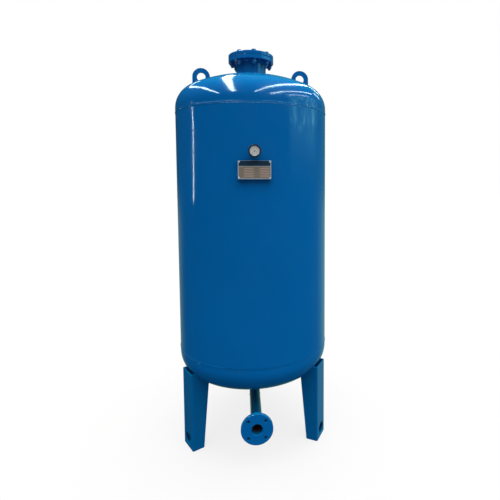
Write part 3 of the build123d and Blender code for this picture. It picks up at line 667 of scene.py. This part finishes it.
def ring_sector(inner, outer, start, end, steps):
    """Outline of a stretch of a flat ring, angles in degrees."""
    angles = [radians(start + (end - start) * i / steps) for i in range(steps + 1)]
    outside = [(outer * cos(a), outer * sin(a)) for a in angles]
    inside = [(inner * cos(a), inner * sin(a)) for a in reversed(angles)]
    return outside + inside


def bar(inner, outer, width, angle):
    """Outline of a radial tick between two radii, at an angle in degrees."""
    a = radians(angle)
    along, across = (cos(a), sin(a)), (-sin(a) * width / 2, cos(a) * width / 2)
    corners = ((inner, -1), (outer, -1), (outer, 1), (inner, 1))
    return [(r * along[0] + s * across[0], r * along[1] + s * across[1]) for r, s in corners]


# Gauge dial: angles in degrees, lengths in metres
dial_start = 225.0
dial_sweep = 270.0
scale_top = 1.6
scale_step = 0.2
ticks_per_step = 5
tick_outer = 0.0222
long_tick_inner = 0.0180
long_tick_width = 0.0009
short_tick_inner = 0.0200
short_tick_width = 0.0004
limit_share = 0.7
limit_inner = 0.0158
limit_outer = 0.0172
limit_steps = 24
inner_tick_count = 36
inner_ticks_per_step = 6
inner_long_inner = 0.0080
inner_short_inner = 0.0090
inner_tick_width = 0.0005
inner_ring = 0.0102
inner_ring_edge = 0.0107
inner_ring_steps = 48
number_reach = 0.0132
number_size = 0.0043
steps_per_number = 2
print_thickness = 0.00006


def add_dial_number(index, steps, material):
    angle = radians(dial_start - dial_sweep * index / steps)
    text = bpy.data.curves.new("number", "FONT")
    text.body = f"{index * scale_step:.1f}" if index else "0"
    text.size = number_size
    text.align_x = "CENTER"
    text.align_y = "CENTER"
    text.extrude = print_thickness
    source = bpy.data.objects.new("number", text)
    mesh = bpy.data.meshes.new_from_object(source)
    bpy.data.objects.remove(source)
    x, z = number_reach * cos(angle), gauge_z + number_reach * sin(angle)
    place = Matrix.Translation((x, dial_front, z))
    mesh.transform(place @ Matrix.Rotation(pi / 2, 4, "X"))
    mesh.materials.clear()
    mesh.materials.append(material)
    number = bpy.data.objects.new(f"dial_number_{index}", mesh)
    bpy.context.scene.collection.objects.link(number)
    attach(number, "tank")


def add_dial_print(materials):
    """Tick marks, numbers, the coloured limit and the inner scale of a plain pressure dial."""
    centre = (0.0, gauge_z)
    dial_end = dial_start - dial_sweep
    steps = round(scale_top / scale_step)
    count = steps * ticks_per_step
    ink = Print(centre, dial_front, print_thickness)
    for index in range(count + 1):
        angle = dial_start - dial_sweep * index / count
        if index % ticks_per_step == 0:
            ink.add(bar(long_tick_inner, tick_outer, long_tick_width, angle))
        else:
            ink.add(bar(short_tick_inner, tick_outer, short_tick_width, angle))
    ink.finish("dial_ticks", materials["dial_ink"], "pointer_enamel")
    zone = Print(centre, dial_front, print_thickness)
    limit_start = dial_start - dial_sweep * limit_share
    zone.add(ring_sector(limit_inner, limit_outer, limit_start, dial_end, limit_steps))
    for index in range(inner_tick_count + 1):
        angle = dial_start - dial_sweep * index / inner_tick_count
        reach = inner_short_inner if index % inner_ticks_per_step else inner_long_inner
        zone.add(bar(reach, inner_ring, inner_tick_width, angle))
    zone.add(ring_sector(inner_ring, inner_ring_edge, dial_start, dial_end, inner_ring_steps))
    zone.finish("dial_limit", materials["warning_ink"], "pointer_enamel")
    for index in range(0, steps + 1, steps_per_number):
        add_dial_number(index, steps, materials["dial_ink"])


def lathe(profile, steps, spot):
    """Points and faces of a skin turned about a level axis that runs forward from a spot."""
    points, faces = [], []
    size = len(profile)
    for step in range(steps):
        turn = 2 * pi * step / steps
        for radius, forward in profile:
            points.append(spot + Vector((radius * cos(turn), -forward, radius * sin(turn))))
    for step in range(steps):
        low, high = step * size, (step + 1) % steps * size
        for index in range(size - 1):
            faces.append((low + index, high + index, high + index + 1, low + index + 1))
    return points, faces


def capped_lathe(profile, steps, spot):
    """A turned skin whose first and last rings are filled."""
    points, faces = lathe(profile, steps, spot)
    size = len(profile)
    faces.append([step * size for step in range(steps)][::-1])
    faces.append([(step + 1) * size - 1 for step in range(steps)])
    return points, faces


# Turned profiles: radius and how far forward, in metres
gasket_profile = (
    (0.0264, 0.0),
    (0.0264, 0.0002),
    (0.0246, 0.0007),
    (0.0240, 0.0006),
    (0.0237, 0.0),
    (0.0264, 0.0),
)
hub_cap_profile = (
    (0.0042, 0.0),
    (0.0042, 0.0007),
    (0.0037, 0.0013),
    (0.0022, 0.0016),
    (0.0008, 0.0017),
)
gasket_steps = 64
hub_cap_steps = 32


def add_gauge_trim(materials):
    """Rubber ring under the bezel's lip, and the cap on the pointer's hub."""
    spot = Vector((0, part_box("gauge_window")[0].y, gauge_z))
    points, faces = lathe(gasket_profile, gasket_steps, spot)
    add_piece("gauge_gasket", points, faces, materials["bag_rubber"], smooth=True)
    spot = Vector((0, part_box("gauge_pointer")[0].y, gauge_z))
    points, faces = capped_lathe(hub_cap_profile, hub_cap_steps, spot)
    hub = materials["hub_enamel"]
    add_piece("pointer_hub_cap", points, faces, hub, "pointer", smooth=True)


# Nameplate print, in metres
plate_border = 0.0048
band_share = 0.28
band_inset = 0.0012
print_gap = 0.0004
edge_height = 0.0022
band_corner = 0.0015
edge_corner = 0.0006
field_rows = 4
field_columns = 2
field_margin = 0.004
blank_share = 0.62
blank_corner = 0.001
hollow_corner = 0.0006
line_width = 0.0005
dash_room = 0.018
dash_gap = 0.010
dash_share = 0.8
dash_height = 0.0012
dash_corner = 0.0004
dash_shift = 0.002
blank_shift = 0.001


def add_nameplate_print(materials):
    """Dark band over two columns of ruled blanks, each with a dash before it."""
    centre = (plate_middle.x, plate_middle.z)
    height = plate_high.z - plate_low.z
    inner_width = plate_high.x - plate_low.x - 2 * plate_border
    band_height = band_share * height
    band_z = height / 2 - band_inset - band_height / 2
    edge_z = band_z - band_height / 2 - print_gap - edge_height / 2
    field_top = edge_z - edge_height / 2 - print_gap
    field_low = -height / 2 + plate_border
    field_height = field_top - field_low
    field_z = (field_top + field_low) / 2
    layers = (
        ("plate_band", band_height, band_corner, band_z, "band_ink"),
        ("plate_edge", edge_height, edge_corner, edge_z, "edge_ink"),
        ("plate_field", field_height, band_corner, field_z, "field_metal"),
    )
    for name, layer_height, corner, z, ink in layers:
        layer = Print(centre, plate_low.y, print_thickness)
        layer.add(moved(rounded_box(inner_width, layer_height, corner), 0, z))
        layer.finish(name, materials[ink], "plate_metal")
    rules = Print(centre, plate_low.y - print_thickness, print_thickness)
    blanks = Print(centre, plate_low.y - print_thickness, print_thickness)
    row_pitch = (field_height - 2 * field_margin) / field_rows
    column_pitch = inner_width / field_columns
    blank_height = row_pitch * blank_share
    blank_width = column_pitch - dash_room - dash_gap
    outside = rounded_box(blank_width, blank_height, blank_corner)
    hollow = (blank_width - 2 * line_width, blank_height - 2 * line_width, hollow_corner)
    hollow = rounded_box(*hollow)
    dash = rounded_box(dash_room * dash_share, dash_height, dash_corner)
    for row in range(field_rows):
        z = field_top - field_margin - row_pitch * (row + 0.5)
        for column in range(field_columns):
            x = (column - (field_columns - 1) / 2) * column_pitch
            blank_x = x + dash_room / 2 + blank_shift
            rules.add(moved(outside, blank_x, z), [moved(hollow, blank_x, z)])
            blanks.add(moved(hollow, blank_x, z))
            rules.add(moved(dash, x - blank_width / 2 - dash_shift, z))
    rules.finish("plate_rules", materials["rule_ink"], "plate_metal")
    blanks.finish("plate_blanks", materials["blank_ink"], "plate_metal")


def tube(points, radii, closed, sides=8):
    """Round skin about a path, with its own radius at each point; open ends are capped."""
    count = len(points)
    rings = []
    side = None
    for index, point in enumerate(points):
        before = points[index - 1] if closed or index else point
        after = points[(index + 1) % count] if closed or index + 1 < count else point
        along = (after - before).normalized()
        if side is None:
            side = along.orthogonal()
        side = (side - along * side.dot(along)).normalized()
        other = along.cross(side)
        radius = radii[index]
        for step in range(sides):
            turn = 2 * pi * step / sides
            rings.append(point + radius * (cos(turn) * side + sin(turn) * other))
    faces = []
    for index in range(count if closed else count - 1):
        low, high = index * sides, (index + 1) % count * sides
        for step in range(sides):
            ahead = (step + 1) % sides
            faces.append((low + step, low + ahead, high + ahead, high + step))
    if not closed:
        faces.append(tuple(reversed(range(sides))))
        faces.append(tuple(range((count - 1) * sides, count * sides)))
    return rings, faces


# Weld beads: ripples a pitch apart in metres, thinner and thicker than the bead's radius
bead_radius = 0.0035
bead_pitch = 0.0048
bead_steps = 5
bead_hollow = 0.92
bead_swell = 0.14
bead_wobble = (0.9, 1.1)


def weld_bead(name, corners, materials, radius=bead_radius, closed=True):
    """Rippled bead laid along a line, each ripple a little larger or smaller by chance."""
    runs = list(zip(corners, corners[1:] + corners[:1] if closed else corners[1:]))
    lengths = [(b - a).length for a, b in runs]
    total = sum(lengths)
    count = round(total / bead_pitch) * bead_steps
    hand = Random(name)
    points, radii = [], []
    run, passed = 0, 0.0
    wobble = 1.0
    for index in range(count):
        spot = total * index / (count if closed else count - 1)
        while run < len(runs) - 1 and spot > passed + lengths[run]:
            passed += lengths[run]
            run += 1
        a, b = runs[run]
        points.append(a.lerp(b, min(1.0, (spot - passed) / lengths[run])))
        phase = index % bead_steps / bead_steps
        if phase == 0:
            wobble = hand.uniform(*bead_wobble)
        radii.append(radius * wobble * (bead_hollow + bead_swell * sin(pi * phase)))
    rings, faces = tube(points, radii, closed)
    add_piece(name, rings, faces, materials["blue_paint"], smooth=True)


# Lugs and folded legs as the CAD has them, in metres and degrees
lug_low, lug_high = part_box("lug_right")
leg_azimuths = {"left": -60.0, "right": 60.0, "rear": 180.0}
leg_half_width = 0.060
leg_sheet = 0.005
leg_face = 0.425
leg_top_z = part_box("leg_rear")[1].z
leg_depth_foot = 0.065
leg_depth_top = 0.1054
foot_height = 0.010
leg_line_step = 0.002
foot_bead_radius = 0.0025
lug_bead_radius = 0.004
lug_line_steps = 24


def turned_by(azimuth, points):
    """Points drawn at the front, turned about the tank's axis."""
    turn = Matrix.Rotation(radians(azimuth), 3, "Z")
    return [turn @ point for point in points]


def leg_foot_line(offset):
    """Where a side of the leg, this far off its middle, meets the bottom head."""
    line = []
    reach = leg_face
    while reach > leg_face - leg_depth_top:
        radius = hypot(reach, offset)
        if radius < shell_radius:
            z = head_z(radius, -1)
            depth = leg_depth_foot + (leg_depth_top - leg_depth_foot) * z / leg_top_z
            if leg_face - reach > depth:
                break
            if z < leg_top_z:
                line.append(Vector((offset, -reach, z)))
        reach -= leg_line_step
    return line


def add_leg_welds(place, azimuth, materials):
    """Beads round the two sides of a leg on the head, and inside it round its foot plate."""
    for side in (-1, 1):
        outer = leg_foot_line(side * leg_half_width)
        inner = leg_foot_line(side * (leg_half_width - leg_sheet))
        loop = turned_by(azimuth, outer + inner[::-1])
        name = f"leg_weld_{place}_{'a' if side < 0 else 'b'}"
        weld_bead(name, loop, materials)
    inset = leg_half_width - leg_sheet
    back = leg_face - leg_sheet
    front = leg_face - leg_depth_foot + leg_sheet
    line = [(-inset, front), (-inset, back), (inset, back), (inset, front)]
    spots = [Vector((x, -y, foot_height)) for x, y in line]
    name = f"foot_weld_{place}"
    weld_bead(name, turned_by(azimuth, spots), materials, foot_bead_radius, closed=False)


def add_lug_welds(side, materials):
    """Bead round a lifting lug's foot on the top head."""
    half = (lug_high.y - lug_low.y) / 2
    steps = range(lug_line_steps + 1)
    line = []
    for sign, order in ((-1, steps), (1, reversed(steps))):
        for step in order:
            x = lug_low.x + (lug_high.x - lug_low.x) * step / lug_line_steps
            line.append(Vector((side * x, sign * half, head_z(hypot(x, half), 1))))
    weld_bead(f"lug_weld_{'left' if side < 0 else 'right'}", line, materials, lug_bead_radius)


def ring_about(centre, across, up, radius, steps=120):
    """Circle as a list of points, on two unit directions."""
    turns = [2 * pi * step / steps for step in range(steps)]
    return [centre + radius * (cos(turn) * across + sin(turn) * up) for turn in turns]


# Pipe welds: radii of the pipes and how far each bead's line lies off their surfaces
neck_radius = 0.08415
pipe_radius = 0.03015
boss_radius = 0.012
fillet_inset = 0.0012
bore_bead_depth = 0.0044
bore_bead_inset = 0.0008
boss_bead_rise = 0.0008
bore_bead_radius = 0.0018
boss_bead_radius = 0.0024


def add_pipe_welds(materials):
    """Beads on the fillets where pipes meet heads and flanges, and round the gauge's boss."""
    sideways, forward, upright = Vector((1, 0, 0)), Vector((0, -1, 0)), Vector((0, 0, 1))
    neck_foot = head_z(neck_radius, 1) + fillet_inset
    neck_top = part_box("neck_flange")[0].z - fillet_inset
    outlet_foot = head_z(pipe_radius, -1) - fillet_inset
    level_rings = (
        ("neck_weld_foot", neck_foot, neck_radius),
        ("neck_weld_flange", neck_top, neck_radius),
        ("outlet_weld_foot", outlet_foot, pipe_radius),
    )
    for name, z, radius in level_rings:
        line = ring_about(Vector((0, 0, z)), sideways, forward, radius + fillet_inset)
        weld_bead(name, line, materials)
    centre = Vector((0, outlet_high.y + fillet_inset, outlet_z))
    line = ring_about(centre, sideways, upright, pipe_radius + fillet_inset)
    weld_bead("outlet_weld_flange", line, materials)
    centre = Vector((0, outlet_low.y + bore_bead_depth, outlet_z))
    line = ring_about(centre, sideways, upright, pipe_radius - bore_bead_inset)
    weld_bead("outlet_weld_bore", line, materials, bore_bead_radius)
    centre = Vector((0, 0, gauge_z))
    line = ring_about(centre, sideways, upright, boss_radius + boss_bead_rise)
    for spot in line:
        spot.y = -sqrt(shell_radius**2 - spot.x**2) - boss_bead_rise
    weld_bead("boss_weld", line, materials, boss_bead_radius)


# Tacks on the nameplate's bracket, in metres
tack_radius = 0.0022
tack_length = 0.014
tack_rise = 0.0006
tack_inset = 0.016


def add_bracket_tacks(materials):
    """Four short welds that hold the nameplate's bracket to the shell."""
    low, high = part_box("nameplate_bracket")
    half = tack_length / 2
    for side, x in (("left", low.x), ("right", high.x)):
        y = -sqrt(shell_radius**2 - x**2) - tack_rise
        for level, z in (("low", low.z + tack_inset), ("high", high.z - tack_inset)):
            line = [Vector((x, y, z - half)), Vector((x, y, z + half))]
            name = f"bracket_tack_{side}_{level}"
            weld_bead(name, line, materials, tack_radius, closed=False)


# Plugs in the outlet flange's holes: radius and height behind the flange, in metres
outlet_bolt_radius = 0.0625
outlet_bolt_count = 4
plug_profile = (
    (0.0030, 0.0042),
    (0.0092, 0.0038),
    (0.0112, 0.0024),
    (0.0112, 0.0004),
    (0.0088, 0.0002),
    (0.0087, -0.0060),
    (0.0080, -0.0068),
    (0.0074, -0.0064),
    (0.0070, -0.0030),
    (0.0020, -0.0026),
)
plug_steps = 32


def add_shade_hole_plugs(materials):
    """Black plastic plugs pushed into the outlet flange's bolt holes from behind: painted shade
    where the holes would show the shaded floor under the tank.
    """
    profile = [(radius, -height) for radius, height in plug_profile]
    for index in range(outlet_bolt_count):
        turn = (index + 0.5) * 2 * pi / outlet_bolt_count
        x, z = outlet_bolt_radius * cos(turn), outlet_z + outlet_bolt_radius * sin(turn)
        points, faces = capped_lathe(profile, plug_steps, Vector((x, outlet_high.y, z)))
        # Black plugs: painted shade in place of the shaded floor seen through the holes
        plug = materials["cap_plastic"]
        add_piece(f"hole_plug_{index}", points, faces, plug, smooth=True)


# Threads of the cover's bolts, in metres
cover_bolt_radius = 0.10615
cover_bolt_count = 8
thread_pitch = 0.002
thread_radius = 0.0080
thread_ridge = 0.0005
thread_start = 0.0008
thread_steps = 16
thread_sides = 6


def add_bolt_threads(materials):
    """Threads on the ends of the cover's bolts, below their nuts."""
    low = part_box("cover_bolts")[0].z + thread_start
    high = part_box("cover_nuts")[0].z
    count = round((high - low) / thread_pitch * thread_steps)
    points, faces = [], []
    for bolt in range(cover_bolt_count):
        place = radians(bolt * 360 / cover_bolt_count + bolt_turn)
        centre = Vector((cover_bolt_radius * cos(place), cover_bolt_radius * sin(place), low))
        path = []
        for index in range(count + 1):
            turn = 2 * pi * index / thread_steps
            rise = thread_pitch * index / thread_steps
            x, y = thread_radius * cos(turn), thread_radius * sin(turn)
            path.append(centre + Vector((x, y, rise)))
        ridge, skin = tube(path, [thread_ridge] * len(path), False, thread_sides)
        faces += [[len(points) + corner for corner in face] for face in skin]
        points += ridge
    zinc = materials["zinc_steel"]
    add_piece("bolt_threads", points, faces, zinc, smooth=True)


# Paint in the mouth's joint, in metres
joint_edge = 0.0012
joint_paint_depth = 0.012
joint_flat_share = 0.4
joint_steps = 96


def add_joint_paint(materials):
    """Paint that has filled the joint between the mouth's flange and its cover."""
    middle = (joint_low + joint_high) / 2
    half = (joint_high - joint_low) / 2
    outer = flange_radius - joint_edge
    inner = outer - joint_paint_depth
    outline = [
        (inner, middle - half),
        (outer - joint_edge, middle - half),
        (outer, middle - half * joint_flat_share),
        (outer, middle + half * joint_flat_share),
        (outer - joint_edge, middle + half),
        (inner, middle + half),
    ]
    points, faces = [], []
    size = len(outline)
    for step in range(joint_steps):
        turn = 2 * pi * step / joint_steps
        points += [(radius * cos(turn), radius * sin(turn), z) for radius, z in outline]
        low, high = step * size, (step + 1) % joint_steps * size
        for index in range(size):
            ahead = (index + 1) % size
            faces.append((low + index, high + index, high + ahead, low + ahead))
    add_piece("joint_paint", points, faces, materials["joint_paint"], smooth=True)


def add_pieces(materials):
    add_dial_print(materials)
    add_nameplate_print(materials)
    add_gauge_trim(materials)
    add_joint_paint(materials)
    add_pipe_welds(materials)
    add_bracket_tacks(materials)
    add_shade_hole_plugs(materials)
    add_bolt_threads(materials)
    for side in (-1, 1):
        add_lug_welds(side, materials)
    for place, azimuth in leg_azimuths.items():
        add_leg_welds(place, azimuth, materials)


def set_colour():
    view = bpy.context.scene.view_settings
    view.view_transform = "Standard"
    view.look = "None"


add_camera()
add_world()
add_lights()
add_floor()
set_colour()
finishes = make_materials()
dress_nodes(finishes)
add_pieces(finishes)

bpy.context.view_layer.update()
